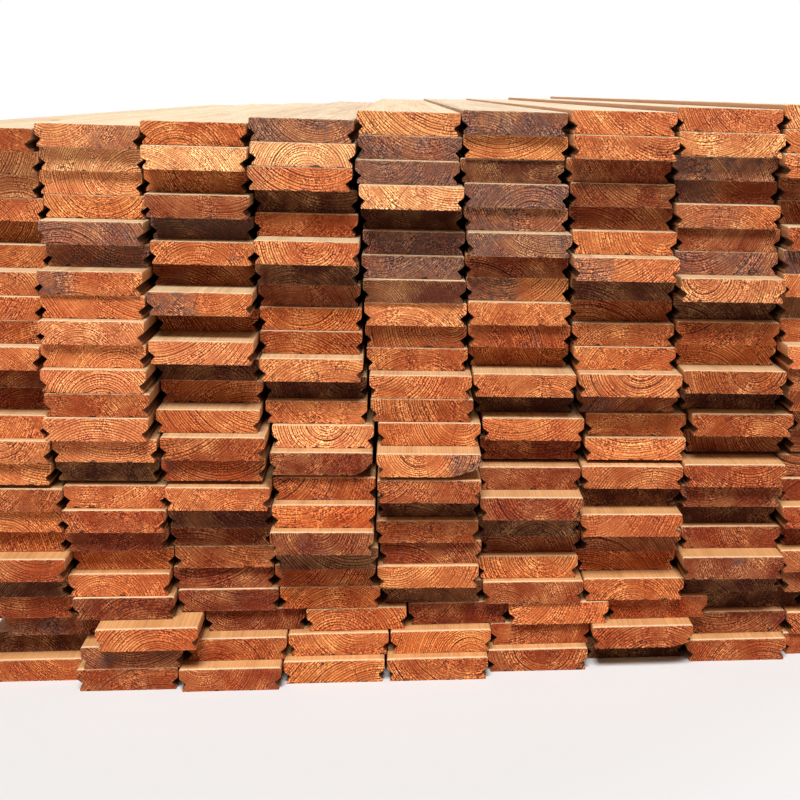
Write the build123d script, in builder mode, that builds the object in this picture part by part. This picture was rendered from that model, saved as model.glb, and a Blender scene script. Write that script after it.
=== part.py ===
"""A stack of planed softwood boards, nine columns wide and twenty-four layers high.

The boards lie along Y and their sawn ends face -Y. Every board has the same section: a flat top, a
V-shaped groove along each edge with a wide lip above it and a short, narrower lip below it, and a small
V-groove in the underside. Thin spacers part the upper bundles from the lower ones. The ends stand out
unevenly, and the boards of the upper layers lean over a little more than those of the lower ones.
"""
import math
import os

from build123d import *

os.makedirs("parts", exist_ok=True)

# Section of one board, in millimetres
BOARD_LENGTH = 3000.0
BOARD_WIDTH = 120.0
BOARD_THICKNESS = 27.0
TOP_EASE = 1.0
BOTTOM_EASE = 0.6
UPPER_LIP_HEIGHT = 12.2
LOWER_LIP_HEIGHT = 3.6
LOWER_LIP_INSET = 2.8
NOTCH_DEPTH = 7.6
NOTCH_HEIGHT = 9.0
GROOVE_WIDTH = 2.6
GROOVE_DEPTH = 1.6
GROOVE_FROM_EDGE = 30.0

# Fit of the stack. The lean grows soon above the floor and slowly near the top
SEAT_CLEARANCE = 0.3
TOP_LEAN = 3.0
LAST_LEVEL_LAYER = 3
LEAN_GROWTH = 0.5

# Spacers between the upper and the lower bundles
SPACER_THICKNESS = 4.0
SPACER_WIDTH = 45.0
SPACER_INSET = 4.0
SPACER_ROWS = 4
SPACER_FROM_END = 240.0
LAYER_OVER_SPACERS = 10

# Open gap beside each column, from the first to the second, the second to the third, and so on
COLUMN_GAPS = (1.6, 2.4, 2.2, 3.0, 1.2, 1.8, 1.4, 1.2)
# How much thicker than the rest the boards of each column were sawn
COLUMN_SWELL = (0.0, 0.0, 0.0, 0.0, 0.2, 0.1, 0.0, 0.0, 0.0)

# How far each layer lies to the right of the layer at the foot of the bundles, from the top layer down
SIDE_SHIFT = (
    -14, -13, -17, -13, -13, -11, -13, -12, -11, -11, -10, -7,
    -6, 2, 0, 0, -1, -3, 1, -3, 2, 33, 11, 6,
)
# How much is added to every gap of each layer, from the top layer down. The gaps grow or shrink evenly
# to both sides of one column
LAYER_SPREAD = (
    0, 0, 0, 0, 0, 0, 0, 0, 0.2, 0.4, 0.5, 0.6,
    1.6, 2.2, 2.2, -0.4, -0.4, -0.4, -0.4, -0.4, -0.4, -0.4, -0.4, 0,
)
SPREAD_ABOUT_COLUMN = 4

# How far each end stands out of the common front, from the top layer down, left to right
STANDS_OUT = (
    (10, 0, 10, 0, -20, 0, 20, 10, 10),
    (-20, -15, 25, 10, -20, -10, 30, 20, 10),
    (-30, -25, -20, 10, 0, -15, -5, 0, 30),
    (-30, -25, 15, -35, 20, -5, 0, -20, -15),
    (-60, 15, -30, -25, -50, -15, -20, 0, -20),
    (-35, -10, 0, 35, -30, 15, 0, -10, 25),
    (10, 40, -30, -5, -20, -15, 35, -10, 10),
    (20, 35, 35, -25, -10, -25, -10, 30, 10),
    (20, 55, -35, -20, -15, -10, -35, -30, -15),
    (45, 45, 45, -15, -30, -20, -20, -10, -15),
    (0, 60, -10, 20, -30, -55, -15, -35, 20),
    (-5, 60, -15, -25, 5, 5, 15, 10, 10),
    (30, 65, 30, -10, 5, -45, -35, -40, -10),
    (45, 50, 55, 0, 10, -10, -30, -10, -30),
    (35, 25, 40, 25, 55, -35, -20, -55, -40),
    (35, 30, 55, 15, 50, -10, -5, 0, -45),
    (25, 40, 30, 40, 5, 30, -30, -15, -35),
    (10, 20, 5, 60, 20, 0, 10, -45, -5),
    (45, 0, 5, 25, 10, -30, -25, -30, -35),
    (15, 20, -5, 0, 20, -15, -40, 10, -10),
    (10, 25, 0, 0, -15, 0, -5, -30, -20),
    (-10, 60, -10, 0, -15, -5, -20, -55, -50),
    (-30, 40, 20, 10, 10, -15, 10, -40, -30),
    (0, 40, 50, 30, 30, 5, -35, -15, -35),
)

# Boards laid the other way round, as layer and column, with the groove of the underside to the left
TURNED = ((23, 1), (23, 3), (23, 4), (24, 2))

# Broken or waney lower edges, as layer and column: how far in, how high and how far along from the end
BROKEN_EDGES = {
    (10, 3): (21.0, 13.5, 90.0),
    (10, 4): (34.0, 12.0, 420.0),
    (2, 6): (24.0, 9.0, 70.0),
}
# How far the cut that breaks an edge reaches past the wood
CUT_MARGIN = 0.5

LAYERS = len(STANDS_OUT)
COLUMNS = len(COLUMN_SWELL)


def board_outline(thickness, turned):
    """Corners of a board's section, from the lower left one round to the left, the foot at height 0."""
    lip_foot = thickness - UPPER_LIP_HEIGHT
    left_edge = [
        (LOWER_LIP_INSET + BOTTOM_EASE, 0.0),
        (LOWER_LIP_INSET, BOTTOM_EASE),
        (LOWER_LIP_INSET, LOWER_LIP_HEIGHT),
        (NOTCH_DEPTH, NOTCH_HEIGHT),
        (0.0, lip_foot),
        (0.0, thickness - TOP_EASE),
        (TOP_EASE, thickness),
    ]
    right_edge = [(BOARD_WIDTH - x, z) for x, z in reversed(left_edge)]
    groove_middle = GROOVE_FROM_EDGE if turned else BOARD_WIDTH - GROOVE_FROM_EDGE
    groove = [
        (groove_middle + GROOVE_WIDTH / 2, 0.0),
        (groove_middle, GROOVE_DEPTH),
        (groove_middle - GROOVE_WIDTH / 2, 0.0),
    ]
    return left_edge + right_edge + groove


class Board:
    """Where one board lies: the lower left corner of its section, its lean and its thickness."""

    def __init__(self, layer, column, left, lean, stands_out):
        self.layer = layer
        self.column = column
        self.left = left
        self.lean = lean
        self.stands_out = stands_out
        self.thickness = BOARD_THICKNESS + COLUMN_SWELL[column]
        self.foot = 0.0

    def place(self, across, up):
        """World X and Z of a point of the section."""
        turn = math.radians(self.lean)
        x = self.left + across * math.cos(turn) + up * math.sin(turn)
        z = self.foot - across * math.sin(turn) + up * math.cos(turn)
        return x, z

    def top_ends(self, inset):
        """Both ends of what lies on the board's top, this far in from its edges."""
        return self.place(inset, self.thickness), self.place(BOARD_WIDTH - inset, self.thickness)

    def underside_span(self):
        inset = LOWER_LIP_INSET + BOTTOM_EASE
        return self.place(inset, 0.0)[0], self.place(BOARD_WIDTH - inset, 0.0)[0]

    def seat_on(self, supports, inset, clearance):
        """Lower the board until it is the clearance away from the highest of the tops below it."""
        slope = math.tan(math.radians(self.lean))
        start, end = self.underside_span()
        feet = []
        for support in supports:
            (left, left_top), (right, right_top) = support.top_ends(inset)
            low, high = max(start, left), min(end, right)
            if low < high:
                for x in (low, high):
                    top = left_top + (right_top - left_top) * (x - left) / (right - left)
                    feet.append(top + (x - self.left) * slope)
        self.foot = max(feet) + clearance

    def plane(self):
        """Plane of the sawn front end, with X across the board and Y up its thickness."""
        turn = math.radians(self.lean)
        return Plane(
            origin=(self.left + MIDDLE_X, FRONT_Y - self.stands_out, self.foot),
            x_dir=(math.cos(turn), 0, -math.sin(turn)),
            z_dir=(0, -1, 0),
        )


def lean_of(layer):
    """Lean of a layer in degrees: none up to the last level layer, then growing to the top layer."""
    risen = max(layer - LAST_LEVEL_LAYER, 0) / (LAYERS - LAST_LEVEL_LAYER)
    return TOP_LEAN * risen**LEAN_GROWTH


def lay_boards():
    """Lay the layers from the floor up, each seated on the one below."""
    layers = []
    for layer in range(1, LAYERS + 1):
        from_top = LAYERS - layer
        spread = LAYER_SPREAD[from_top]
        left = SIDE_SHIFT[from_top] - SPREAD_ABOUT_COLUMN * spread
        row = []
        for column in range(COLUMNS):
            board = Board(layer, column, left, lean_of(layer), STANDS_OUT[from_top][column])
            if layers:
                if layer == LAYER_OVER_SPACERS:
                    board.seat_on(layers[-1], SPACER_INSET, SPACER_THICKNESS + 2 * SEAT_CLEARANCE)
                else:
                    board.seat_on(layers[-1], 0.0, SEAT_CLEARANCE)
            row.append(board)
            if column < COLUMNS - 1:
                left += BOARD_WIDTH + COLUMN_GAPS[column] + spread
        layers.append(row)
    return layers


# The origin is at the middle of the footprint, on the floor
MIDDLE_X = 0.0
layers = lay_boards()
edges = [
    board.place(across, up)[0]
    for row in layers
    for board in row
    for across, up in board_outline(board.thickness, False)
]
MIDDLE_X = -(min(edges) + max(edges)) / 2
furthest_out = max(max(row) for row in STANDS_OUT)
furthest_in = min(min(row) for row in STANDS_OUT)
FRONT_Y = -(BOARD_LENGTH - furthest_out - furthest_in) / 2

# One node for each layer of boards
for row in layers:
    with BuildPart() as layer_of_boards:
        for board in row:
            front = board.plane()
            with BuildSketch(front):
                with BuildLine():
                    turned = (board.layer, board.column) in TURNED
                    Polyline(*board_outline(board.thickness, turned), close=True)
                make_face()
            extrude(amount=-BOARD_LENGTH)
            if (board.layer, board.column) in BROKEN_EDGES:
                inward, high, along = BROKEN_EDGES[board.layer, board.column]
                with BuildSketch(front):
                    with BuildLine():
                        Polyline(
                            (BOARD_WIDTH + CUT_MARGIN, -CUT_MARGIN),
                            (BOARD_WIDTH + CUT_MARGIN, high),
                            (BOARD_WIDTH - inward, -CUT_MARGIN),
                            close=True,
                        )
                    make_face()
                extrude(amount=-along, mode=Mode.SUBTRACT)
    name = f"layer_{row[0].layer:02d}"
    layer_of_boards.part.label = name
    export_step(layer_of_boards.part, f"parts/{name}.step")

# Thin spacers lie on the boards below them, each one leaning with its board
under_spacers = layers[LAYER_OVER_SPACERS - 2]
spacer_pitch = (BOARD_LENGTH - 2 * SPACER_FROM_END) / (SPACER_ROWS - 1)
with BuildPart() as spacers:
    for board in under_spacers:
        front = board.plane()
        for number in range(SPACER_ROWS):
            along = SPACER_FROM_END + number * spacer_pitch - SPACER_WIDTH / 2
            lower = board.thickness + SEAT_CLEARANCE
            with BuildSketch(front.offset(-(along + board.stands_out - furthest_in))):
                with Locations((BOARD_WIDTH / 2, lower + SPACER_THICKNESS / 2)):
                    Rectangle(BOARD_WIDTH - 2 * SPACER_INSET, SPACER_THICKNESS)
            extrude(amount=-SPACER_WIDTH)
spacers.part.label = "spacers"
export_step(spacers.part, "parts/spacers.step")
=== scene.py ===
"""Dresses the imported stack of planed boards: sawn ends, planed faces, spacers, stage and camera."""
import math

import bpy
import numpy as np
from mathutils import Matrix


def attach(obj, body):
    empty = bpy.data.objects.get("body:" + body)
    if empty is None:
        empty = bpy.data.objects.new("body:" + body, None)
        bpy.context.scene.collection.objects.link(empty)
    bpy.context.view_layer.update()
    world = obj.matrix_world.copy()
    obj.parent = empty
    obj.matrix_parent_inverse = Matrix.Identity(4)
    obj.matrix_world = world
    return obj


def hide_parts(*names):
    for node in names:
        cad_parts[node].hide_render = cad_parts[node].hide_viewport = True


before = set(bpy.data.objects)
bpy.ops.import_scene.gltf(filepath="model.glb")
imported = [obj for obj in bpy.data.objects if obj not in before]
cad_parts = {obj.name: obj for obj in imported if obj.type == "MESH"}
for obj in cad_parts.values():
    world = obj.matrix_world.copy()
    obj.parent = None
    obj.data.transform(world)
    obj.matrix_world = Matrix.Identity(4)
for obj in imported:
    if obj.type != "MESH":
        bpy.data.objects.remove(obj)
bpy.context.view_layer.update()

bl_info = {
    "name": "Stack of boards",
    "version": (1, 0, 0),
    "blender": (4, 5, 0),
    "location": "View3D > Sidebar > Boards",
    "description": "Dresses a stack of planed boards with sawn end grain, planed faces and a plain stage",
    "category": "Object",
}

LAYERS = 24
COLUMNS = 9
BODY = "root"
SPACER_NODE = "spacers"
FRAME_PIXELS = 800.0
BOARD_THICKNESS = 0.027
LOWER_BUNDLES_FROM = 4
UPPER_BUNDLES_FROM = 10

# Kinds of wood: o orange, t tan, p pale, r red orange, b brown, d dark brown, k almost black, g grey.
# A board's kind is drawn from the letters of the first line whose limit is more than the overhang, in
# metres, of the board above it: a board that lies far in gets a darker kind, painted shade of the overhang
SHADED_KINDS_BY_OVERHANG = (
    (0.001, "ooooooootttttttbbbbbddr"),
    (0.011, "oooottbbbbddddd"),
    (0.021, "ooobbbdddddkk"),
    (0.036, "bbddddkkkkkko"),
    (math.inf, "dddddkkkkko"),
)
KIND_SEED = 37500
# Below this layer a board is often a kind darker, painted shade, and above the other one it has often gone
# grey
DARKER = {"p": "t", "t": "o", "o": "b", "r": "b", "b": "d", "d": "k"}
DARKER_BELOW = 12
DARKER_SHARE = 0.30
GREY_ABOVE = 17
GREY_SHARE = 0.25
# Boards whose wood is plainly lighter or darker than the way they lie would make it, as layer and column
ODD_BOARDS = {
    (23, 0): "t", (23, 1): "p", (23, 2): "p", (23, 3): "p", (22, 0): "t", (22, 2): "o", (22, 5): "k",
    (22, 7): "g", (21, 4): "p", (20, 0): "b", (20, 2): "g", (17, 4): "k", (16, 4): "t", (16, 7): "k",
    (14, 7): "t", (12, 3): "t", (11, 1): "t", (11, 3): "p", (10, 2): "b", (9, 2): "o", (5, 0): "k",
    (5, 6): "o", (4, 0): "b", (4, 1): "d", (3, 5): "t", (2, 4): "t",
}

# Share of weather stain on each kind of wood
WEATHERED = {"o": 0.08, "t": 0.06, "p": 0.08, "r": 0.05, "b": 0.15, "d": 0.20, "k": 0.08, "g": 0.56}
# How much that share, the lightness and each of red, green and blue vary from board to board
WEATHER_SPREAD = 0.2
TONE_SPREAD = 0.16
HUE_SPREAD = 0.10
# How much red, green and blue the lowest boards lose: painted shade towards the foot of the stack
FOOT_SHADE_LOSS = (0.16, 0.38, 0.62)

# Boards stained from one side only, as layer and column: -1 from the left or 1 from the right, how far in
# the stain reaches in metres, and how strong it is
SIDE_STAINS = {
    (18, 1): (-1, 0.044, 0.9),
    (17, 5): (-1, 0.062, 1.0),
    (18, 6): (-1, 0.052, 0.8),
    (17, 2): (-1, 0.056, 0.9),
    (21, 7): (-1, 0.055, 0.9),
    (20, 7): (-1, 0.075, 0.5),
    (10, 4): (1, 0.040, 1.0),
    (24, 1): (1, 0.060, 0.6),
    (22, 3): (-1, 0.030, 0.4),
}

# Broken or waney lower right edges, as layer and column: how far in, how high and how far along, in metres
BROKEN_EDGES = {
    (10, 3): (0.021, 0.0135, 0.090),
    (10, 4): (0.034, 0.012, 0.420),
    (2, 6): (0.024, 0.009, 0.070),
}

# How far past its end a break runs out, in metres
BREAK_RUN_OUT = 0.015

# Boards laid the other way round, with the groove of the underside to the left
TURNED = ((23, 1), (23, 3), (23, 4), (24, 2))

# Where the growth rings of some boards have their middle: across from the board's middle and up, in metres
RING_MIDDLES = {
    (19, 3): (0.004, 0.030),
    (23, 3): (0.006, -0.012),
    (14, 1): (0.010, -0.020),
    (11, 3): (0.004, 0.034),
    (7, 3): (-0.002, 0.032),
    (8, 5): (0.012, 0.040),
    (5, 5): (0.020, 0.036),
    (13, 6): (0.012, 0.042),
    (1, 5): (0.006, 0.034),
    (17, 7): (-0.034, 0.030),
    (16, 3): (-0.010, 0.050),
    (10, 4): (-0.012, 0.036),
    (22, 4): (-0.030, 0.044),
    (18, 0): (0.010, -0.010),
}
CLEAR_RING_SPACING = 0.0029
# On the other boards: how far across and how often above the board the middle is drawn, and the least value
# and spread of its height above or below, of the rings' spacing and of their contrast
RINGS_ACROSS = 0.150
RINGS_ABOVE_SHARE = 0.6
RINGS_ABOVE = (0.032, 0.070)
RINGS_BELOW = (-0.010, -0.065)
RING_SPACING = (0.0019, 0.0013)
RING_CONTRAST = (0.55, 0.45)
SEED_RANGE = 10.0

# Factors for red, green and blue that turn a wood's own colour into that of its parts
LIGHT_CLOUD = (1.25, 1.4, 1.3)
RED_CLOUD = (0.72, 0.52, 0.45)
DARK_YEAR = (0.66, 0.52, 0.46)
EARLY_WOOD = (1.55, 1.85, 1.95)
LATE_WOOD = (0.24, 0.13, 0.09)
TORN_PIT = (0.22, 0.10, 0.07)
TORN_TUFT = (2.5, 3.1, 3.6)
DARK_STREAK = (0.62, 0.5, 0.4)
DARK_BAND = (0.66, 0.50, 0.38)

# Colours mixed into the wood
HONEY = (0.80, 0.36, 0.13)
PALE_FIBRE = (0.98, 0.54, 0.29)
UPPER_ARRIS_HIGHLIGHT = (0.90, 0.58, 0.32)
LOWER_ARRIS = (0.85, 0.48, 0.26)
CRACK = (0.020, 0.008, 0.005)
RIPE_WOOD = (0.500, 0.235, 0.085)
KNOT_HALO = (0.520, 0.250, 0.095)
GROOVE_SHADE = (0.060, 0.024, 0.010)
ARRIS_HIGHLIGHT_FACE = (0.940, 0.760, 0.520)
DRY_STREAK = (0.42, 0.24, 0.12)

# Where the looks of a planed board change, in metres from its middle or up from its foot: the edge, the
# painted shade in the side grooves from where it begins to where it is thick, and the painted highlight at
# the end, which reaches along the board
EDGE_FROM = 0.0515
EDGE_HEAD = 0.0262
GROOVE_SHADE_FOOT = (0.0030, 0.0045)
GROOVE_SHADE_HEAD = (0.0150, 0.0135)
GROOVE_SHADE_MOUTH = (0.0600, 0.0570)
ARRIS_HIGHLIGHT_FROM = 0.0255
ARRIS_HIGHLIGHT_REACH = (0.0020, 0.0070)

# How far the corners of the section are cut back, in metres
CORNER_EASE = 0.0006
LIP_EASE = 0.0011
GROOVE_EASE = 0.0001
# Where the section stands near a sawn end, in metres from it
NEAR_END = (0.0, 0.0008, 0.006)
SHARP_ANGLE = math.radians(55.0)

# Chips on a broken edge: how many, how much they change its slope, and its greatest rise as a share of its
# height
CHIP_KNOTS = 37
CHIP_SHARE = 0.5
CHIP_LIMIT = 1.1
# Fringe of a sawn end: slow waves and their share of it, the share of the second section and that of the
# faces, and how far in from the sides and the faces it reaches, in metres
FRINGE_KNOTS = 61
SLOW_SHARE = 0.6
SECOND_RING_SHARE = 0.35
FACE_SHARE = 0.6
SIDE_REACH = 0.009
FACE_REACH = 0.002
LAYER_SEED = 1000

# Bake map. Ends lie in rows below the strips of the long faces: width and height of one, foot of the first
# row, and how many lie in a row
FRONT_CAPS = (1 / 3, 0.08, 0.0, 3)
BACK_CAPS = (1 / 6, 0.04, 0.245, 6)
STRIPS_FROM = 0.33

NODES_A_ROW = 8
NODE_WIDTH = 220
NODE_HEIGHT = 260
# Sockets of a mix node that hold the share and both colours, and the one that gives the colour
MIX_INPUTS = (0, 6, 7)
MIX_OUTPUT = 2

# Lamps: height and turn in degrees, share of the key light's strength, and spread in degrees
LAMPS = {"Key": (53.0, -4.0, 1.0, 24.0), "Back": (30.0, 160.0, 0.24, 60.0)}
SENSOR_WIDTH = 36.0
SIGHT_END = 200.0
FLOOR_HALF = 30.0
FLOOR_CELLS = 6
FLOOR_GREY = (0.64, 0.64, 0.64, 1.0)


def length_property(name, description, length):
    return bpy.props.FloatProperty(name=name, description=description, default=length, unit="LENGTH")


def angle_property(name, description, degrees):
    return bpy.props.FloatProperty(
        name=name, description=description, default=math.radians(degrees), subtype="ANGLE")


def plain_property(name, description, value):
    return bpy.props.FloatProperty(name=name, description=description, default=value)


def colour_property(name, description, colour):
    return bpy.props.FloatVectorProperty(
        name=name, description=description, subtype="COLOR", size=3, min=0.0, max=1.0, default=colour)


class BoardSizes(bpy.types.PropertyGroup):
    """Sizes of a board's section and of the way the boards lie."""

    length: length_property("Board length", "Length between both sawn ends", 3.0)
    width: length_property("Board width", "Width over both upper lips", 0.120)
    top_ease: length_property("Top ease", "Rounding of the upper corners", 0.0014)
    upper_lip: length_property("Upper lip height", "Height of the lip above the side groove", 0.0122)
    lower_lip: length_property("Lower lip height", "Height of the lip below the side groove", 0.0036)
    lower_inset: length_property(
        "Lower lip inset", "How far the lower lip stays behind the upper one", 0.0028)
    notch_depth: length_property("Side groove depth", "Depth of the groove along each edge", 0.0076)
    notch_height: length_property(
        "Side groove height", "Height of the root of the groove along each edge", 0.0090)
    groove_width: length_property("Underside groove width", "Width of the small groove below", 0.0026)
    groove_depth: length_property("Underside groove depth", "Depth of the small groove below", 0.0016)
    groove_from_edge: length_property(
        "Underside groove place", "From the edge to the middle of the small groove", 0.030)
    top_lean: angle_property("Lean of the top layer", "How far the top layer leans to the right", 3.0)
    lean_growth: plain_property(
        "Growth of the lean", "1 grows evenly with the layers, less grows sooner", 0.5)
    lean_start: bpy.props.IntProperty(
        name="Last level layer", description="Layer above which the boards begin to lean", default=3)
    fringe: length_property("Saw fringe", "Depth of the ragged arris round a sawn end", 0.0006)
    mesh_step: length_property("Mesh step", "Longest side of a face across the section", 0.012)


class WoodColours(bpy.types.PropertyGroup):
    """Colours of the sawn ends, of the planed faces and of the weather stain."""

    orange: colour_property("Orange wood", "Sawn end of common orange wood", (0.545, 0.139, 0.038))
    tan: colour_property("Tan wood", "Sawn end of lighter wood", (0.660, 0.207, 0.070))
    pale: colour_property("Pale wood", "Sawn end of the palest wood", (0.800, 0.330, 0.132))
    red: colour_property("Red wood", "Sawn end of red orange wood", (0.550, 0.118, 0.025))
    brown: colour_property("Brown wood", "Sawn end of brown wood", (0.360, 0.069, 0.012))
    dark: colour_property("Dark wood", "Sawn end of dark wood", (0.228, 0.037, 0.006))
    stained: colour_property("Stained wood", "Sawn end stained almost black", (0.100, 0.022, 0.006))
    grey: colour_property("Weathered wood", "Sawn end gone grey in the weather", (0.300, 0.094, 0.044))
    weather: colour_property("Weather stain", "Purple grey stain on sawn ends", (0.130, 0.060, 0.045))
    planed: colour_property("Planed wood", "Planed faces of the lower layers", (0.710, 0.385, 0.155))
    bleached: colour_property("Bleached wood", "Planed faces of the upper layers", (0.665, 0.560, 0.355))
    late: colour_property("Late wood", "Dark lines on the planed faces", (0.420, 0.175, 0.065))
    knot: colour_property("Knots", "Knots on the planed faces", (0.200, 0.075, 0.028))
    edge: colour_property("Board edges", "Grooved edges of the boards", (0.400, 0.185, 0.070))
    spacer: colour_property("Spacer wood", "Thin spacers", (0.240, 0.120, 0.060))


class StageLight(bpy.types.PropertyGroup):
    """Camera and light of the stage."""

    focal_pixels: plain_property("Focal length", "Focal length in pixels of the square frame", 1690.0)
    distance: length_property(
        "Camera distance", "From the common front of the ends to the camera", 1.950)
    height: length_property("Camera height", "Above the floor", 0.691)
    sideways: length_property("Camera place across", "From the middle of the stack", -0.0303)
    front: length_property("Common front", "Where the ends lie that stand neither out nor in", -1.4975)
    yaw: angle_property("Yaw", "Turn of the camera to the right", -0.19)
    pitch: angle_property("Pitch", "How far the camera looks down", 10.35)
    roll: angle_property("Roll", "How far the frame is tilted", -1.41)
    key: plain_property("Key light", "Strength of the lamp high above the front", 4.75)
    sky: plain_property("Sky", "Strength of the even light from all round", 0.12)


def settings():
    return bpy.context.scene.board_sizes, bpy.context.scene.wood_colours, bpy.context.scene.stage_light


# Shader node groups. Places are in metres, so the scale of a noise is in waves a metre


class Wiring:
    """Short calls that add nodes to a tree and join them. The nodes stand in rows, after those taken."""

    def __init__(self, tree, taken=0):
        self.tree = tree
        self.count = taken

    def node(self, kind, **values):
        made = self.tree.nodes.new(kind)
        row, place = divmod(self.count, NODES_A_ROW)
        made.location = (place * NODE_WIDTH, -row * NODE_HEIGHT)
        self.count += 1
        for name, value in values.items():
            setattr(made, name, value)
        return made

    def feed(self, socket, value):
        if isinstance(value, bpy.types.NodeSocket):
            self.tree.links.new(value, socket)
        elif value is not None:
            socket.default_value = value

    def math(self, operation, first, second=None, clamp=False):
        made = self.node("ShaderNodeMath", operation=operation, use_clamp=clamp)
        self.feed(made.inputs[0], first)
        self.feed(made.inputs[1], second)
        return made.outputs[0]

    def plus(self, first, second):
        return self.math("ADD", first, second)

    def minus(self, first, second, clamp=False):
        return self.math("SUBTRACT", first, second, clamp)

    def times(self, first, second):
        return self.math("MULTIPLY", first, second)

    def swing(self, value, spread):
        """A value from 0 to 1 moved so that it swings about 0, times the spread."""
        return self.times(self.minus(value, 0.5), spread)

    def vector(self, operation, first, second):
        made = self.node("ShaderNodeVectorMath", operation=operation)
        self.feed(made.inputs[0], first)
        self.feed(made.inputs[1], second)
        return made.outputs["Vector"]

    def stretch(self, place, *scales):
        """A place stretched by one scale, or by one each for X, Y and Z."""
        return self.vector("MULTIPLY", place, scales * 3 if len(scales) == 1 else scales)

    def moved(self, place, x, y, z):
        return self.vector("ADD", place, self.join(x, y, z))

    def noise(self, place, detail=2.0, rough=0.5, scale=1.0):
        made = self.node("ShaderNodeTexNoise")
        self.feed(made.inputs["Vector"], place)
        self.feed(made.inputs["Scale"], scale)
        self.feed(made.inputs["Detail"], detail)
        self.feed(made.inputs["Roughness"], rough)
        return made.outputs["Fac"]

    def ramp(self, value, low, high, start=0.0, end=1.0):
        """Value moved evenly from low..high to start..end, and held there."""
        made = self.node("ShaderNodeMapRange")
        for socket, given in zip(made.inputs, (value, low, high, start, end)):
            self.feed(socket, given)
        return made.outputs[0]

    def mix(self, share, first, second, blend="MIX"):
        made = self.node("ShaderNodeMix", data_type="RGBA", blend_type=blend)
        for number, value in zip(MIX_INPUTS, (share, first, second)):
            self.feed(made.inputs[number], value)
        return made.outputs[MIX_OUTPUT]

    def tint(self, share, base, colour):
        """The base mixed with one colour."""
        return self.mix(share, base, (*colour, 1.0))

    def times_colour(self, base, factors):
        return self.mix(1.0, base, (*factors, 1.0), "MULTIPLY")

    def shade(self, share, base, factors):
        """The base, as far as the share says, multiplied by factors for red, green and blue."""
        return self.mix(share, base, self.times_colour(base, factors))

    def split(self, vector):
        made = self.node("ShaderNodeSeparateXYZ")
        self.feed(made.inputs[0], vector)
        return made.outputs

    def join(self, x, y, z):
        made = self.node("ShaderNodeCombineXYZ")
        for socket, value in zip(made.inputs, (x, y, z)):
            self.feed(socket, value)
        return made.outputs[0]

    def attribute(self, name, output="Vector"):
        made = self.node("ShaderNodeAttribute", attribute_type="GEOMETRY", attribute_name=name)
        return made.outputs[output]

    def group(self, name, **inputs):
        """Places a shader node group and feeds its inputs."""
        made = self.node("ShaderNodeGroup", node_tree=bpy.data.node_groups[name])
        for label, value in inputs.items():
            self.feed(made.inputs[label.replace("_", " ")], value)
        return made.outputs


def new_group(name, inputs, outputs):
    """An empty shader node group: the calls to wire it, what it is given and what it results in."""
    group = bpy.data.node_groups.new(name, "ShaderNodeTree")
    for label, kind in inputs.items():
        group.interface.new_socket(label, in_out="INPUT", socket_type="NodeSocket" + kind)
    for label in outputs:
        group.interface.new_socket(label, in_out="OUTPUT", socket_type="NodeSocketFloat")
    w = Wiring(group)
    return w, w.node("NodeGroupInput").outputs, w.node("NodeGroupOutput").inputs


def growth_rings_group():
    """Growth rings: round shells about a line along the board. Each grows darker slowly and ends at once.

    A check is a crack that runs out from the middle of the rings: a narrow band of angles, kept to short
    reaches."""
    w, given, result = new_group(
        "Growth rings", {"Place": "Vector", "Middle": "Vector", "Seed": "Float", "Wander": "Float"},
        ("Late wood", "Ring tone", "Checks"))
    x, y, z = w.split(given["Place"])
    middle_x, middle_z, spacing = w.split(given["Middle"])
    shift = w.times(given["Seed"], 7.3)
    # The middle of the rings strays slowly along the length
    slow = w.noise(w.join(w.times(y, 1.3), shift, 0.0))
    stray = w.swing(slow, w.ramp(y, 0.02, 0.5, 0.0, 0.05))
    across = w.minus(w.minus(x, middle_x), stray)
    up = w.minus(z, middle_z)
    # Rings are never quite round
    spot = w.moved(w.stretch(given["Place"], 26.0, 1.0, 30.0), shift, shift, shift)
    uneven = w.swing(w.noise(spot, 3.0, 0.55), given["Wander"])
    reach = w.math("SQRT", w.plus(w.math("POWER", across, 2.0), w.math("POWER", up, 2.0)))
    reach = w.plus(reach, uneven)
    count = w.math("DIVIDE", reach, spacing)
    # Wide and narrow years
    years = w.noise(w.join(w.times(count, 0.45), shift, 3.0), 1.0)
    count = w.plus(count, w.swing(years, 2.2))
    part = w.math("FRACT", count)
    rise = w.math("POWER", w.ramp(part, 0.30, 0.86), 1.6)
    fall = w.ramp(part, 0.90, 0.99, 1.0, 0.0)
    w.feed(result["Late wood"], w.math("MULTIPLY", rise, fall, clamp=True))
    w.feed(result["Ring tone"], w.noise(w.join(w.math("FLOOR", count), shift, 9.0), 0.0, scale=0.77))
    angle = w.math("ARCTAN2", across, up)
    turn = w.math("FRACT", w.plus(w.times(angle, 2.6), given["Seed"]))
    bend = w.swing(w.noise(spot, scale=3.0), 0.10)
    off = w.times(w.math("ABSOLUTE", w.minus(w.plus(turn, bend), 0.5)), reach)
    here = w.noise(w.moved(w.stretch(given["Place"], 21.0), shift, 5.0, shift), 0.0)
    w.feed(result["Checks"], w.times(w.ramp(off, 0.0004, 0.0011, 1.0, 0.0), w.ramp(here, 0.63, 0.67)))


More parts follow.
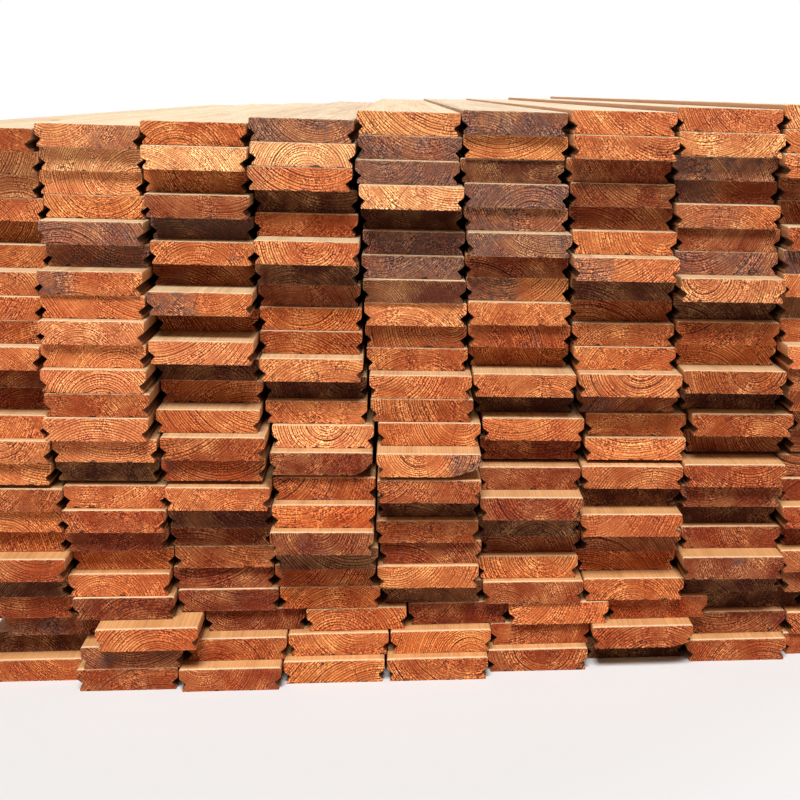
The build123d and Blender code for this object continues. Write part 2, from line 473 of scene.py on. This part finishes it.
def sawn_fuzz_group():
    """Rough sawn end: tufts of torn fibres that stand pale, pits between them, and a height for the bump.

    Two noises, one drawn out along the saw lines and one even, are added and cut at a high and a low
    level."""
    w, given, result = new_group(
        "Sawn fuzz", {"Place": "Vector", "Seed": "Float", "Late wood": "Float"}, ("Tufts", "Pits", "Height"))
    x, _, z = w.split(given["Place"])
    shift = w.times(given["Seed"], 3.1)
    # Saw lines run steeply across the end, at a slant of their own on each board
    slant = w.swing(w.math("FRACT", w.times(given["Seed"], 5.7)), 2.4)
    run = w.plus(x, w.times(z, slant))
    strands = w.noise(w.join(w.times(run, 600.0), shift, w.times(z, 260.0)), 2.0, 0.6)
    even = w.stretch(given["Place"], 620.0, 60.0, 660.0)
    fine = w.noise(w.moved(even, shift, shift, shift), 3.0, 0.65)
    # The fuzz is thick in some patches and thin in others
    broad = w.noise(w.moved(w.stretch(given["Place"], 38.0), shift, 0.0, shift))
    thick = w.ramp(broad, 0.40, 0.60, 0.22, 1.0)
    mixed = w.plus(w.times(strands, 0.28), w.times(fine, 0.72))
    level = w.minus(mixed, w.times(given["Late wood"], 0.10))
    w.feed(result["Tufts"], w.times(w.ramp(level, 0.49, 0.58), thick))
    w.feed(result["Pits"], w.times(w.ramp(level, 0.47, 0.39), thick))
    w.feed(result["Height"], w.plus(mixed, w.times(given["Late wood"], 0.15)))


def frayed_arris_and_highlight_group():
    """Frayed arris and painted highlight: masks that are 1 at the upper and the lower corner of a sawn end
    and fall off unevenly. The upper one carries a painted highlight along the arris.

    Chips are where splinters are gone from the lower corner: all that lies below an uneven line."""
    w, given, result = new_group(
        "Frayed arris and highlight", {"Place": "Vector", "Seed": "Float", "Thickness": "Float"}, ("Top", "Foot", "Chips"))
    x, _, z = w.split(given["Place"])
    spot = w.join(w.times(x, 150.0), w.times(given["Seed"], 4.1), 0.0)
    reach = w.ramp(w.noise(spot, 3.0, 0.6), 0.35, 0.7, 0.0004, 0.0026)
    below = w.minus(given["Thickness"], z)
    w.feed(result["Top"], w.minus(1.0, w.math("DIVIDE", below, reach), clamp=True))
    w.feed(result["Foot"], w.minus(1.0, w.math("DIVIDE", z, reach), clamp=True))
    gone = w.noise(w.join(w.times(x, 95.0), w.times(given["Seed"], 8.3), 2.0), 2.0, 0.7)
    w.feed(result["Chips"], w.math("LESS_THAN", z, w.ramp(gone, 0.54, 0.72, 0.0, 0.0026)))


def weather_group(sizes):
    """Weather stain: broad uneven patches with mottled edges, as a mask that grows with its amount."""
    w, given, result = new_group(
        "Weather patches", {"Place": "Vector", "Seed": "Float", "Amount": "Float", "Side": "Vector"},
        ("Stain", "Mottle"))
    shift = w.times(given["Seed"], 11.9)
    spot = w.moved(w.stretch(given["Place"], 16.0, 3.0, 22.0), shift, w.times(shift, 0.7), shift)
    broad = w.noise(spot, 3.0, 0.55)
    fine = w.noise(w.stretch(spot, 9.0), 3.0, 0.6)
    level = w.ramp(given["Amount"], 0.0, 1.0, 0.74, 0.22)
    mixed = w.plus(w.times(broad, 0.82), w.times(fine, 0.18))
    stain = w.ramp(w.minus(mixed, level), -0.05, 0.07)
    stain = w.times(stain, w.ramp(given["Amount"], 0.0, 0.3, 0.3, 1.0))
    # A stain from one side reaches in as far as given, with an uneven front
    side, reach, strength = w.split(given["Side"])
    across = w.times(w.split(given["Place"])[0], side)
    depth = w.plus(w.minus(across, sizes.width / 2), reach)
    depth = w.plus(depth, w.swing(mixed, 0.05))
    one_sided = w.times(w.ramp(depth, -0.006, 0.010), strength)
    w.feed(result["Stain"], w.math("MAXIMUM", stain, one_sided))
    w.feed(result["Mottle"], fine)


# Materials


def new_material(name):
    """A material with one Principled BSDF, and the calls to wire it."""
    material = bpy.data.materials.new(name)
    material.use_nodes = True
    tree = material.node_tree
    return material, Wiring(tree, NODES_A_ROW), tree.nodes["Principled BSDF"]


def surface(w, shader, base, rough, height, depth, gloss=None):
    """Colour, roughness, bump and gloss of a wood."""
    made = w.node("ShaderNodeBump")
    made.inputs["Distance"].default_value = depth
    w.feed(made.inputs["Height"], height)
    w.feed(shader.inputs["Normal"], made.outputs["Normal"])
    w.feed(shader.inputs["Base Color"], base)
    w.feed(shader.inputs["Roughness"], rough)
    w.feed(shader.inputs["Specular IOR Level"], gloss)


def end_material(colours):
    """Sawn end grain: growth rings, torn fibres and weather stain on the board's own colour."""
    _, w, shader = new_material("Sawn end grain")
    place = w.attribute("board_place")
    own = w.attribute("board_colour", "Color")
    seed, contrast, amount = w.split(w.attribute("board_traits"))
    rings = w.group("Growth rings", Place=place, Middle=w.attribute("board_rings"), Seed=seed, Wander=0.0045)
    late = rings["Late wood"]
    fuzz = w.group("Sawn fuzz", Place=place, Seed=seed, Late_wood=late)
    weather = w.group(
        "Weather patches", Place=place, Seed=seed, Amount=amount, Side=w.attribute("board_side"))
    arris = w.group("Frayed arris and highlight", Place=place, Seed=seed, Thickness=BOARD_THICKNESS)
    # Clouds of lighter and of redder wood, and darker and lighter years
    cloud = w.moved(w.stretch(place, 24.0), seed, seed, seed)
    light = w.ramp(w.noise(cloud, 3.0, 0.6), 0.42, 0.64, 0.0, 0.75)
    red = w.ramp(w.noise(w.stretch(cloud, 1.7), 3.0, 0.6), 0.42, 0.64, 0.0, 0.60)
    base = w.mix(light, own, w.tint(0.30, w.times_colour(own, LIGHT_CLOUD), HONEY))
    base = w.shade(red, base, RED_CLOUD)
    base = w.shade(w.ramp(rings["Ring tone"], 0.3, 0.7, 0.0, 0.45), base, DARK_YEAR)
    # Late wood is darker and early wood paler, plain in some places and torn away in others
    clear = w.noise(w.moved(w.stretch(place, 26.0), 3.0, seed, seed), 1.0)
    clear = w.times(w.ramp(clear, 0.40, 0.56, 0.08, 1.0), contrast)
    shown = w.times(w.times(late, clear), w.ramp(fuzz["Tufts"], 0.0, 1.0, 1.0, 0.50))
    early = w.times(w.minus(1.0, late), w.times(clear, 0.70))
    base = w.shade(early, base, EARLY_WOOD)
    base = w.shade(shown, base, LATE_WOOD)
    stained = w.tint(w.ramp(weather["Mottle"], 0.38, 0.62, 0.35, 0.95), base, colours.weather)
    base = w.mix(weather["Stain"], base, stained)
    base = w.shade(fuzz["Pits"], base, TORN_PIT)
    tuft = w.tint(0.12, w.times_colour(base, TORN_TUFT), PALE_FIBRE)
    base = w.mix(w.times(fuzz["Tufts"], 0.90), base, tuft)
    # Painted highlight along the upper arris of the sawn end
    base = w.tint(w.times(arris["Top"], 0.55), base, UPPER_ARRIS_HIGHLIGHT)
    base = w.tint(w.times(arris["Foot"], 0.12), base, LOWER_ARRIS)
    gone = w.math("MAXIMUM", arris["Chips"], rings["Checks"])
    base = w.tint(w.times(gone, 0.88), base, CRACK)
    surface(w, shader, base, w.ramp(fuzz["Height"], 0.3, 0.8, 0.95, 0.72), fuzz["Height"], 0.0023, gloss=0.25)


def face_material(colours, sizes):
    """Planed face: pale wood with grain along the board, knots, a painted highlight at the ends, painted
    shade in the grooves.
    """
    _, w, shader = new_material("Planed face")
    place = w.attribute("board_place")
    own, height = w.attribute("board_colour", "Color"), w.attribute("board_colour", "Alpha")
    seed, _, amount = w.split(w.attribute("board_traits"))
    rings = w.group("Growth rings", Place=place, Middle=w.attribute("board_rings"), Seed=seed, Wander=0.006)
    weather = w.group("Weather patches", Place=place, Seed=seed, Amount=amount)
    streaks = w.noise(w.stretch(place, 420.0, 5.0, 420.0), 3.0, 0.6)
    ripe = w.math("FRACT", w.times(seed, 3.7))
    base = w.mix(w.ramp(height, 0.25, 0.85), (*colours.planed, 1.0), (*colours.bleached, 1.0))
    base = w.tint(w.times(ripe, 0.28), base, RIPE_WOOD)
    base = w.mix(0.08, base, own)
    base = w.tint(w.times(rings["Late wood"], 0.42), base, colours.late)
    base = w.shade(w.ramp(streaks, 0.4, 0.75, 0.0, 0.25), base, DARK_STREAK)
    # Broad bands of darker grain, and a knot here and there
    bands = w.noise(w.moved(w.stretch(place, 46.0, 0.8, 60.0), seed, seed, 0.0), 4.0, 0.6)
    base = w.shade(w.ramp(bands, 0.46, 0.68, 0.0, 0.50), base, DARK_BAND)
    cells = w.node("ShaderNodeTexVoronoi")
    w.feed(cells.inputs["Vector"], w.moved(w.stretch(place, 11.0, 2.6, 9.0), seed, seed, seed))
    w.feed(cells.inputs["Scale"], 1.0)
    chosen = w.math("GREATER_THAN", w.split(cells.outputs["Color"])[0], 0.62)
    knot = w.times(w.ramp(cells.outputs["Distance"], 0.055, 0.085, 1.0, 0.0), chosen)
    halo = w.times(w.ramp(cells.outputs["Distance"], 0.07, 0.22, 1.0, 0.0), chosen)
    base = w.tint(w.times(halo, 0.45), base, KNOT_HALO)
    base = w.tint(knot, base, colours.knot)
    # The grooved edges are darker than the broad faces: partly painted shade of the gaps between boards,
    # partly dirt
    x, y, z = w.split(place)
    off_middle = w.math("ABSOLUTE", x)
    edge = w.times(w.math("GREATER_THAN", off_middle, EDGE_FROM), w.math("LESS_THAN", z, EDGE_HEAD))
    edge_colour = w.mix(w.ramp(streaks, 0.35, 0.7, 0.15, 0.6), (*colours.edge, 1.0), own)
    base = w.mix(w.times(edge, 0.85), base, edge_colour)
    # Painted shade darkens the side grooves
    inside = w.times(w.ramp(z, *GROOVE_SHADE_FOOT), w.ramp(z, *GROOVE_SHADE_HEAD))
    groove = w.times(inside, w.ramp(off_middle, *GROOVE_SHADE_MOUTH, 0.25, 1.0))
    base = w.tint(w.times(w.times(groove, edge), 0.80), base, GROOVE_SHADE)
    # A pale painted highlight lies where a top face meets a sawn end
    half = sizes.length / 2
    from_end = w.minus(half, w.math("ABSOLUTE", w.minus(y, half)))
    arris_highlight = w.times(w.ramp(from_end, *ARRIS_HIGHLIGHT_REACH, 0.70, 0.0), w.math("GREATER_THAN", z, ARRIS_HIGHLIGHT_FROM))
    base = w.tint(w.times(arris_highlight, w.ramp(streaks, 0.3, 0.6, 0.5, 1.0)), base, ARRIS_HIGHLIGHT_FACE)
    base = w.tint(w.times(weather["Stain"], 0.14), base, colours.weather)
    relief = w.plus(w.times(streaks, 0.4), w.times(rings["Late wood"], 0.3))
    surface(w, shader, base, w.ramp(streaks, 0.3, 0.7, 0.52, 0.78), relief, 0.0003, gloss=0.3)


def spacer_material(colours):
    """Rough dry strip of wood with streaks along X and dirt in its pores."""
    _, w, shader = new_material("Rough spacer")
    place = w.node("ShaderNodeTexCoord").outputs["Object"]
    weather = w.group("Weather patches", Place=place, Seed=0.37, Amount=0.4)
    streaks = w.noise(w.stretch(place, 30.0, 700.0, 700.0), 3.0, 0.6)
    base = w.mix(w.ramp(streaks, 0.35, 0.7), (*colours.spacer, 1.0), (*DRY_STREAK, 1.0))
    base = w.tint(w.times(weather["Stain"], 0.6), base, colours.weather)
    surface(w, shader, base, w.ramp(streaks, 0.3, 0.7, 0.7, 0.9), streaks, 0.0004)


def wood_materials():
    """The three wood materials, made once with their groups."""
    sizes, colours, _ = settings()
    names = ("Sawn end grain", "Planed face", "Rough spacer")
    if names[0] not in bpy.data.materials:
        growth_rings_group()
        sawn_fuzz_group()
        frayed_arris_and_highlight_group()
        weather_group(sizes)
        end_material(colours)
        face_material(colours, sizes)
        spacer_material(colours)
    return [bpy.data.materials[name] for name in names]


# Board meshes


def loose_pieces(node):
    """Points of each loose piece of a CAD node: the lowest number is passed along edges until it settles."""
    mesh = node.data
    points = np.zeros(len(mesh.vertices) * 3)
    mesh.vertices.foreach_get("co", points)
    points = points.reshape(-1, 3)
    _, same = np.unique(points.round(6), axis=0, return_inverse=True)
    same = same.reshape(-1)
    edges = np.zeros(len(mesh.edges) * 2, int)
    mesh.edges.foreach_get("vertices", edges)
    ends = same[edges].reshape(-1, 2)
    label = np.arange(same.max() + 1)
    while True:
        low = label[ends].min(axis=1)
        passed = label.copy()
        np.minimum.at(passed, ends[:, 0], low)
        np.minimum.at(passed, ends[:, 1], low)
        if (passed == label).all():
            break
        label = passed
    own = label[same]
    return [points[own == value] for value in np.unique(own)]


def lean_of(layer, sizes):
    """Lean of a layer: none up to the last level layer, then growing to that of the top layer."""
    risen = max(layer - sizes.lean_start, 0) / (LAYERS - sizes.lean_start)
    return sizes.top_lean * risen ** sizes.lean_growth


def boards_of(layer, sizes):
    """Left, foot, front, back and thickness of each board of a layer, left to right, from its CAD solids.

    A point's place across and up the leaning section is its place in X and Z turned by the lean, so the
    least of each gives the corner that the section starts from."""
    lean = lean_of(layer, sizes)
    rows = []
    for points in loose_pieces(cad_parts[f"layer_{layer:02d}"]):
        across = points[:, 0] * math.cos(lean) - points[:, 2] * math.sin(lean)
        up = points[:, 0] * math.sin(lean) + points[:, 2] * math.cos(lean)
        left = across.min() * math.cos(lean) + up.min() * math.sin(lean)
        foot = up.min() * math.cos(lean) - across.min() * math.sin(lean)
        rows.append((left, foot, points[:, 1].min(), points[:, 1].max(), up.max() - up.min()))
    rows.sort()
    if len(rows) != COLUMNS:
        raise RuntimeError(f"layer {layer} has {len(rows)} boards")
    return np.array(rows), lean


def board_section(thickness, turned, sizes):
    """Outline of a board's section as points (across, up), anticlockwise from the lower left.

    Each corner is cut back to a point on each of its two sides, and the straight sides are parted into steps
    no longer than the mesh step."""
    lip_foot = thickness - sizes.upper_lip
    width = sizes.width
    left = [
        (sizes.lower_inset, 0.0, CORNER_EASE),
        (sizes.lower_inset, sizes.lower_lip, CORNER_EASE),
        (sizes.notch_depth, sizes.notch_height, CORNER_EASE),
        (0.0, lip_foot, LIP_EASE),
        (0.0, thickness, sizes.top_ease),
    ]
    right = [(width - x, z, ease) for x, z, ease in reversed(left)]
    middle = sizes.groove_from_edge if turned else width - sizes.groove_from_edge
    half = sizes.groove_width / 2
    groove = [
        (middle + half, 0.0, GROOVE_EASE),
        (middle, sizes.groove_depth, GROOVE_EASE),
        (middle - half, 0.0, GROOVE_EASE),
    ]
    corners = np.array((left + right + groove)[::-1])
    point, ease = corners[:, :2], corners[:, 2:]
    before = np.roll(point, 1, axis=0) - point
    after = np.roll(point, -1, axis=0) - point
    before /= np.linalg.norm(before, axis=1, keepdims=True)
    after /= np.linalg.norm(after, axis=1, keepdims=True)
    outline = np.stack([point + before * ease, point + after * ease], axis=1).reshape(-1, 2)
    following = np.roll(outline, -1, axis=0)
    span = np.linalg.norm(following - outline, axis=1)
    steps = np.maximum(np.ceil(span / sizes.mesh_step).astype(int), 1)
    share = np.arange(steps.sum()) - np.repeat(np.cumsum(steps) - steps, steps)
    share = (share / np.repeat(steps, steps))[:, None]
    return np.repeat(outline, steps, axis=0) * (1 - share) + np.repeat(following, steps, axis=0) * share


def smooth_wander(random, shape, knots):
    """Random wave round a closed outline: even random values at a few knots, joined by a smooth curve."""
    rows, count = shape
    values = random.random((rows, knots))
    at = np.linspace(0.0, knots, count, endpoint=False)
    whole = at.astype(int)
    part = at - whole
    part = part * part * (3 - 2 * part)
    return values[:, whole % knots] * (1 - part) + values[:, (whole + 1) % knots] * part


def stations(length, broken):
    """Distances along a board at which its section stands: near both ends and where a break runs out."""
    run_out = [broken[2], broken[2] + BREAK_RUN_OUT] if broken else []
    return np.array([*NEAR_END, *run_out, *(length - at for at in reversed(NEAR_END))])


def break_edge(across, up, along, broken, width, random):
    """Height of the section's points once the lower right edge is broken: none is below a chipped slope.

    The slope rises evenly to its height over its width, more or less by the chips, up to the break's end."""
    gone, high, depth = broken
    chip = smooth_wander(random, across.shape, CHIP_KNOTS) - 0.5
    slope = (across - (width - gone)) / gone * high * (1 + CHIP_SHARE * chip)
    slope = np.where(along <= depth, slope, 0.0)
    return np.maximum(up, np.minimum(slope, high * CHIP_LIMIT))


def fray_arris(across, up, along, thickness, sizes, random):
    """Draws the arris round each sawn end in and back by an uneven share of the fringe."""
    wave = smooth_wander(random, across.shape, FRINGE_KNOTS) * SLOW_SHARE
    wave = wave + random.random(across.shape) * (1 - SLOW_SHARE)
    rings = len(across)
    share = np.zeros((rings, 1))
    share[[0, -1]] = 1.0
    share[[1, -2]] = SECOND_RING_SHARE
    pull = share * wave * sizes.fringe
    middle_x, middle_z = sizes.width / 2, thickness / 2
    near_side = np.abs(across - middle_x) > middle_x - SIDE_REACH
    near_face = np.abs(up - middle_z) > middle_z - FACE_REACH
    inward = np.where(np.arange(rings)[:, None] < rings // 2, pull, -pull)
    across = across - np.sign(across - middle_x) * pull * near_side
    up = up - np.sign(up - middle_z) * pull * FACE_SHARE * near_face
    return across, up, along + inward


def board_mesh(layer, boards, lean, sizes, random):
    """All boards of a layer in one mesh: the section carried along each board, closed by its two sawn ends.

    A point at (across, up) of the section and s along lies at X = left + across cos + up sin,
    Y = front + s and Z = foot - across sin + up cos, with the sine and cosine of the lean."""
    points, quads, caps, place, order = [], [], [], [], []
    bake_side, bake_cap = [], []
    start = 0
    for column, (left, foot, front, back, thickness) in enumerate(boards):
        section = board_section(thickness, (layer, column) in TURNED, sizes)
        broken = BROKEN_EDGES.get((layer, column))
        run = stations(back - front, broken)
        rings, count = len(run), len(section)
        across = np.repeat(section[None, :, 0], rings, axis=0)
        up = np.repeat(section[None, :, 1], rings, axis=0)
        along = np.repeat(run[:, None], count, axis=1)
        if broken:
            up = break_edge(across, up, along, broken, sizes.width, random)
        across, up, along = fray_arris(across, up, along, thickness, sizes, random)
        x = left + across * math.cos(lean) + up * math.sin(lean)
        z = foot - across * math.sin(lean) + up * math.cos(lean)
        points.append(np.stack([x, front + along, z], -1).reshape(-1, 3))
        place.append(np.stack([across - sizes.width / 2, along, up], -1).reshape(-1, 3))
        ring, step = np.meshgrid(np.arange(rings - 1), np.arange(count), indexing="ij")
        ring, step = ring.reshape(-1), step.reshape(-1)
        turn = (step + 1) % count
        quads.append(start + np.stack([ring * count + step, (ring + 1) * count + step,
                                       (ring + 1) * count + turn, ring * count + turn], -1))
        caps.append((start + np.arange(count)).tolist())
        caps.append((start + (rings - 1) * count + np.arange(count)[::-1]).tolist())
        order.append(np.full(rings * count, column))
        bake_side.append(side_patch(column, ring, step, along[:, 0], count))
        bake_cap.append(cap_patch(column, section, sizes.width, FRONT_CAPS))
        bake_cap.append(cap_patch(column, section[::-1], sizes.width, BACK_CAPS))
        start += rings * count
    mesh = bpy.data.meshes.new(f"boards_{layer:02d}")
    sides = np.concatenate(quads)
    mesh.from_pydata(np.concatenate(points), [], sides.tolist() + caps)
    kinds = np.concatenate([np.ones(len(sides), int), np.zeros(len(caps), int)])
    mesh.polygons.foreach_set("material_index", kinds)
    mesh.polygons.foreach_set("use_smooth", np.ones(len(kinds), bool))
    mesh.set_sharp_from_angle(angle=SHARP_ANGLE)
    bake = mesh.uv_layers.new(name="OFBake")
    patches = np.concatenate([np.concatenate(bake_side).reshape(-1, 2), np.concatenate(bake_cap)])
    bake.data.foreach_set("uv", patches.reshape(-1))
    return mesh, np.concatenate(place), np.concatenate(order)


def side_patch(column, ring, step, along, count):
    """Bake map of a board's long faces: length along U, way round the section along V, one strip a board."""
    length = along[-1] - along[0]
    low, high = along[ring] / length, along[ring + 1] / length
    v0, v1 = step / count, (step + 1) / count
    strip = (1 - STRIPS_FROM) / COLUMNS
    base = STRIPS_FROM + column * strip
    u = np.stack([low, high, high, low], -1) * 0.99 + 0.005
    v = base + strip * (0.02 + 0.96 * np.stack([v0, v0, v1, v1], -1))
    return np.stack([np.clip(u, 0.0, 1.0), v], -1)


def cap_patch(column, section, width, caps):
    """Bake map of a sawn end, in rows of ends."""
    wide, high, base, row_length = caps
    x = (column % row_length + 0.02 + 0.96 * section[:, 0] / width) * wide
    y = base + (column // row_length) * high + 0.002 + 0.96 * section[:, 1] / width * wide
    return np.stack([x, y], -1)


def kinds_of(layer, overhang):
    """Kind of wood of each board of a layer, darker the further the board above stands out over it: painted
    shade.
    """
    random = np.random.default_rng(KIND_SEED + layer)
    kinds = []
    for column in range(COLUMNS):
        letters = next(letters for limit, letters in SHADED_KINDS_BY_OVERHANG if overhang[column] < limit)
        pick, darker, grey = random.random(3)
        kind = letters[int(pick * len(letters))]
        if layer < DARKER_BELOW and darker < DARKER_SHARE:
            kind = DARKER.get(kind, kind)
        if layer > GREY_ABOVE and grey < GREY_SHARE and kind != "k":
            kind = "g"
        kinds.append(ODD_BOARDS.get((layer, column), kind))
    return kinds


def drawn(random, least, spread):
    """A random value for each board of a layer, from the least one up over the spread."""
    return least + spread * random.random(COLUMNS)


def board_traits(layer, overhang, random):
    """Colour, growth rings, wear and side stain of each board of a layer."""
    _, colours, _ = settings()
    named = {"o": colours.orange, "t": colours.tan, "p": colours.pale, "r": colours.red,
             "b": colours.brown, "d": colours.dark, "k": colours.stained, "g": colours.grey}
    kinds = kinds_of(layer, overhang)
    colour = np.array([named[kind][:] for kind in kinds])
    tone, hue = random.random((COLUMNS, 1)) - 0.5, random.random((COLUMNS, 3)) - 0.5
    colour = colour * (1 + TONE_SPREAD * tone + HUE_SPREAD * hue)
    # The lower layers are a little darker and redder: painted shade towards the foot of the stack
    foot_shade = 1 - layer / LAYERS
    colour = np.clip(colour * (1 - foot_shade * np.array(FOOT_SHADE_LOSS)), 0.0, 1.0)
    above = random.random(COLUMNS) < RINGS_ABOVE_SHARE
    rings = np.stack([
        (random.random(COLUMNS) - 0.5) * RINGS_ACROSS,
        np.where(above, drawn(random, *RINGS_ABOVE), drawn(random, *RINGS_BELOW)),
        drawn(random, *RING_SPACING),
    ], -1)
    contrast = drawn(random, *RING_CONTRAST)
    for column in range(COLUMNS):
        if (layer, column) in RING_MIDDLES:
            rings[column] = (*RING_MIDDLES[layer, column], CLEAR_RING_SPACING)
            contrast[column] = 1.0
    seeds = random.random(COLUMNS) * SEED_RANGE
    weathered = np.array([WEATHERED[kind] for kind in kinds])
    weathered = np.clip(weathered + WEATHER_SPREAD * (random.random(COLUMNS) - 0.5), 0.0, 1.0)
    side = np.array([SIDE_STAINS.get((layer, column), (0.0, 0.0, 0.0)) for column in range(COLUMNS)])
    return colour, rings, np.stack([seeds, contrast, weathered], -1), side


def set_vectors(mesh, name, values):
    made = mesh.attributes.new(name, "FLOAT_VECTOR", "POINT")
    made.data.foreach_set("vector", values.astype(np.float32).reshape(-1))


def lay_layer(layer):
    """Makes the dressed boards of one layer in place of its CAD node."""
    sizes, _, _ = settings()
    random = np.random.default_rng(LAYER_SEED + layer)
    boards, lean = boards_of(layer, sizes)
    mesh, place, order = board_mesh(layer, boards, lean, sizes, random)
    # How far the board above stands out sets how much painted shade a board's kind carries
    overhang = np.zeros(COLUMNS)
    if layer < LAYERS:
        overhang = boards[:, 2] - boards_of(layer + 1, sizes)[0][:, 2]
    colour, rings, traits, side = board_traits(layer, overhang, random)
    set_vectors(mesh, "board_place", place)
    set_vectors(mesh, "board_rings", rings[order])
    set_vectors(mesh, "board_traits", traits[order])
    set_vectors(mesh, "board_side", side[order])
    # The fourth value of the colour is the board's height in the stack, from 0 to 1
    height = np.full(len(order), layer / LAYERS)
    paint = mesh.attributes.new("board_colour", "FLOAT_COLOR", "POINT")
    paint.data.foreach_set("color", np.column_stack([colour[order], height]).astype(np.float32).reshape(-1))
    end, face, _ = wood_materials()
    mesh.materials.append(end)
    mesh.materials.append(face)
    mesh.update()
    piece = bpy.data.objects.new(f"boards_{layer:02d}", mesh)
    bpy.context.scene.collection.objects.link(piece)
    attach(piece, BODY)
    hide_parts(f"layer_{layer:02d}")


class BOARDS_OT_floor_layers(bpy.types.Operator):
    """Dress the layers nearest the floor, which are laid with a side shift"""

    bl_idname = "boards.floor_layers"
    bl_label = "Floor layers"

    def execute(self, context):
        for layer in range(1, LOWER_BUNDLES_FROM):
            lay_layer(layer)
        return {"FINISHED"}


class BOARDS_OT_lower_bundles(bpy.types.Operator):
    """Dress the boards of the lower bundles"""

    bl_idname = "boards.lower_bundles"
    bl_label = "Lower bundles"

    def execute(self, context):
        for layer in range(LOWER_BUNDLES_FROM, UPPER_BUNDLES_FROM):
            lay_layer(layer)
        return {"FINISHED"}


class BOARDS_OT_upper_bundles(bpy.types.Operator):
    """Dress the boards of the upper bundles"""

    bl_idname = "boards.upper_bundles"
    bl_label = "Upper bundles"

    def execute(self, context):
        for layer in range(UPPER_BUNDLES_FROM, LAYERS + 1):
            lay_layer(layer)
        return {"FINISHED"}


class BOARDS_OT_spacers(bpy.types.Operator):
    """Give the thin spacers their rough wood"""

    bl_idname = "boards.spacers"
    bl_label = "Spacers"

    def execute(self, context):
        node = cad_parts[SPACER_NODE]
        node.data.materials.clear()
        node.data.materials.append(wood_materials()[2])
        return {"FINISHED"}


class BOARDS_OT_stage(bpy.types.Operator):
    """Set up the floor, the lamps, the white surroundings and the camera"""

    bl_idname = "boards.stage"
    bl_label = "Stage"

    def execute(self, context):
        stage_floor()
        stage_world()
        stage_lamps()
        stage_camera()
        context.scene.view_settings.view_transform = "Standard"
        return {"FINISHED"}


def stage_floor():
    """A wide pale floor: a flat square grid at the foot of the stack."""
    count = FLOOR_CELLS + 1
    side = np.linspace(-FLOOR_HALF, FLOOR_HALF, count)
    x, y = np.meshgrid(side, side, indexing="ij")
    corners = np.stack([x, y, np.zeros_like(x)], -1).reshape(-1, 3)
    i, j = np.meshgrid(np.arange(FLOOR_CELLS), np.arange(FLOOR_CELLS), indexing="ij")
    first = (i * count + j).reshape(-1)
    cells = np.stack([first, first + count, first + count + 1, first + 1], -1)
    mesh = bpy.data.meshes.new("floor")
    mesh.from_pydata(corners, [], cells.tolist())
    material, _, shader = new_material("Pale floor")
    shader.inputs["Base Color"].default_value = FLOOR_GREY
    shader.inputs["Roughness"].default_value = 0.9
    shader.inputs["Specular IOR Level"].default_value = 0.1
    mesh.materials.append(material)
    floor = bpy.data.objects.new("floor", mesh)
    bpy.context.scene.collection.objects.link(floor)


def stage_world():
    """Even pale light, and plain white where the camera or a gloss ray sees past the floor."""
    _, _, light = settings()
    world = bpy.data.worlds.new("Studio")
    bpy.context.scene.world = world
    world.use_nodes = True
    w = Wiring(world.node_tree, NODES_A_ROW)
    background = world.node_tree.nodes["Background"]
    path = w.node("ShaderNodeLightPath").outputs
    seen = w.math("MAXIMUM", path["Is Camera Ray"], path["Is Glossy Ray"])
    seen = w.math("MAXIMUM", seen, path["Is Transmission Ray"])
    w.feed(background.inputs["Color"], (1.0, 1.0, 1.0, 1.0))
    w.feed(background.inputs["Strength"], w.ramp(seen, 0.0, 1.0, light.sky, 1.0))


def stage_lamps():
    """A wide soft lamp high above the front, and a weak one high behind for the other views."""
    _, _, light = settings()
    for name, (height, turn, share, spread) in LAMPS.items():
        lamp = bpy.data.lights.new(name, "SUN")
        lamp.energy = light.key * share
        lamp.angle = math.radians(spread)
        made = bpy.data.objects.new(name, lamp)
        made.rotation_euler = (math.radians(90.0 - height), 0.0, math.radians(turn))
        bpy.context.scene.collection.objects.link(made)


def stage_camera():
    """Camera in front of the ends, slightly above them and tilted as the photographer held it."""
    _, _, light = settings()
    data = bpy.data.cameras.new("Camera")
    data.sensor_fit = "HORIZONTAL"
    data.sensor_width = SENSOR_WIDTH
    data.lens = light.focal_pixels / FRAME_PIXELS * SENSOR_WIDTH
    data.clip_end = SIGHT_END
    camera = bpy.data.objects.new("Camera", data)
    turn = (Matrix.Rotation(-light.yaw, 4, "Z") @ Matrix.Rotation(math.pi / 2 - light.pitch, 4, "X")
            @ Matrix.Rotation(light.roll, 4, "Z"))
    camera.matrix_world = Matrix.Translation(
        (light.sideways, light.front - light.distance, light.height)) @ turn
    bpy.context.scene.collection.objects.link(camera)
    bpy.context.scene.camera = camera


class BOARDS_PT_panel(bpy.types.Panel):
    """Sizes, colours and steps of the stack of boards"""

    bl_idname = "BOARDS_PT_panel"
    bl_label = "Stack of boards"
    bl_space_type = "VIEW_3D"
    bl_region_type = "UI"
    bl_category = "Boards"

    def draw(self, context):
        for group in settings():
            box = self.layout.box()
            for name in group.__annotations__:
                box.prop(group, name)
        for operator in OPERATORS:
            self.layout.operator(operator.bl_idname)


GROUPS = {"board_sizes": BoardSizes, "wood_colours": WoodColours, "stage_light": StageLight}
OPERATORS = (
    BOARDS_OT_floor_layers, BOARDS_OT_lower_bundles, BOARDS_OT_upper_bundles, BOARDS_OT_spacers,
    BOARDS_OT_stage,
)


def register():
    for made in (*GROUPS.values(), *OPERATORS, BOARDS_PT_panel):
        bpy.utils.register_class(made)
    for name, group in GROUPS.items():
        setattr(bpy.types.Scene, name, bpy.props.PointerProperty(type=group))


def unregister():
    for name in GROUPS:
        delattr(bpy.types.Scene, name)
    for made in reversed((*GROUPS.values(), *OPERATORS, BOARDS_PT_panel)):
        bpy.utils.unregister_class(made)


def main():
    register()
    bpy.ops.boards.floor_layers()
    bpy.ops.boards.lower_bundles()
    bpy.ops.boards.upper_bundles()
    bpy.ops.boards.spacers()
    bpy.ops.boards.stage()


if __name__ == "__main__":
    main()
